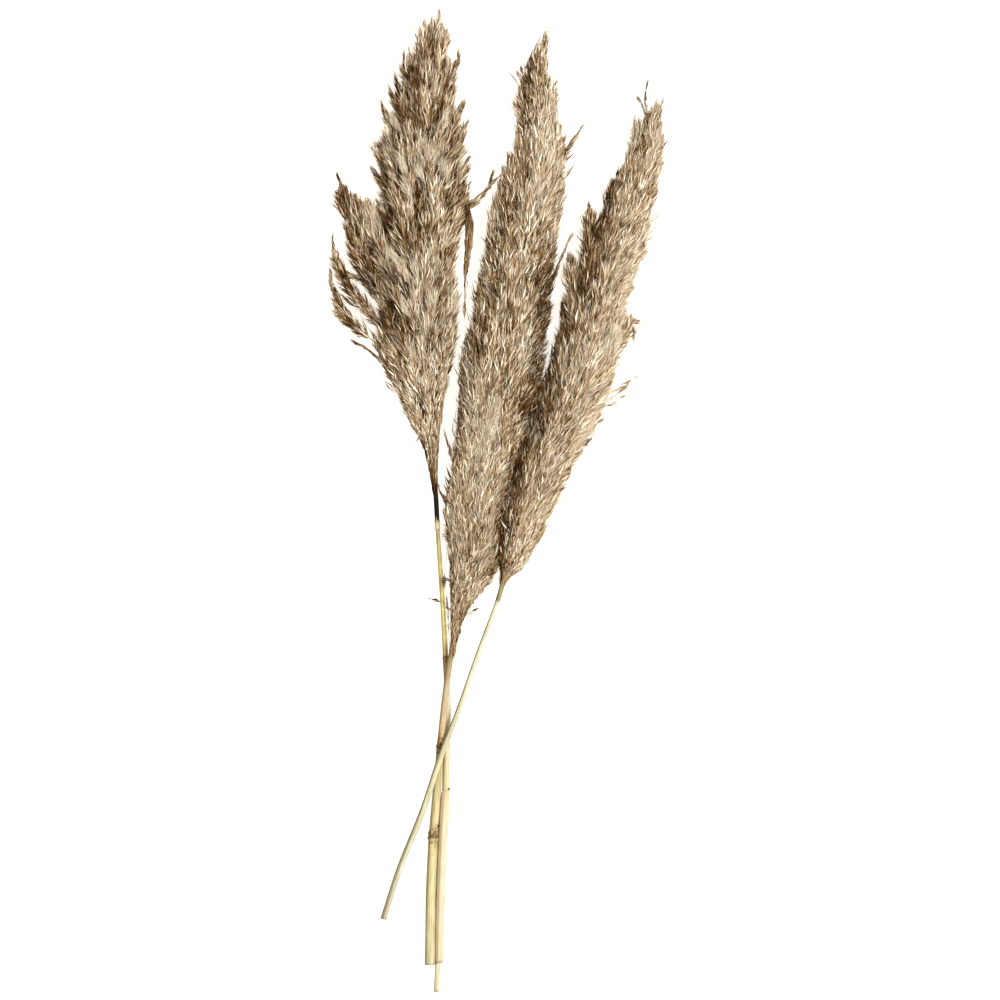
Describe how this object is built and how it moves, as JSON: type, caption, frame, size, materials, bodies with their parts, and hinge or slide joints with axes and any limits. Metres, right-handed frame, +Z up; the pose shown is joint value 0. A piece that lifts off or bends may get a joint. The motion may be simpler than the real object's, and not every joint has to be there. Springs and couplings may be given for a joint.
{
  "type": "bundle of pampas grass",
  "caption": "Loose bundle of dried, feathery grass plumes on thin bare stalks that cross near their foot, lying flat.",
  "frame": {"origin": "on the surface the bundle lies on, under the middle of its bounding box", "axes": "+Y along the bundle towards the plume tips, +X towards the right plume, +Z up from the surface"},
  "size_m": [0.2475, 0.6982, 0.0444],
  "materials": {
    "straw": "dry straw-yellow stalk, smooth, slightly waxy, with fine lengthwise fibres",
    "pale_straw": "dry pale grey-yellow stalk, smooth, with fine lengthwise fibres",
    "brown_plume": "dry brown spikelets with straw tips and silky grey-white hairs, matte",
    "tan_plume": "dry tan spikelets with straw tips and silky hairs, matte",
    "pale_plume": "dry pale tan spikelets with cream tips and silky hairs, matte"
  },
  "bodies": {
    "root": {"culm_left": "straw", "culm_middle": "straw", "culm_right": "pale_straw", "plume_left": "brown_plume", "plume_middle": "tan_plume", "plume_right": "pale_plume"}
  },
  "joints": []
}
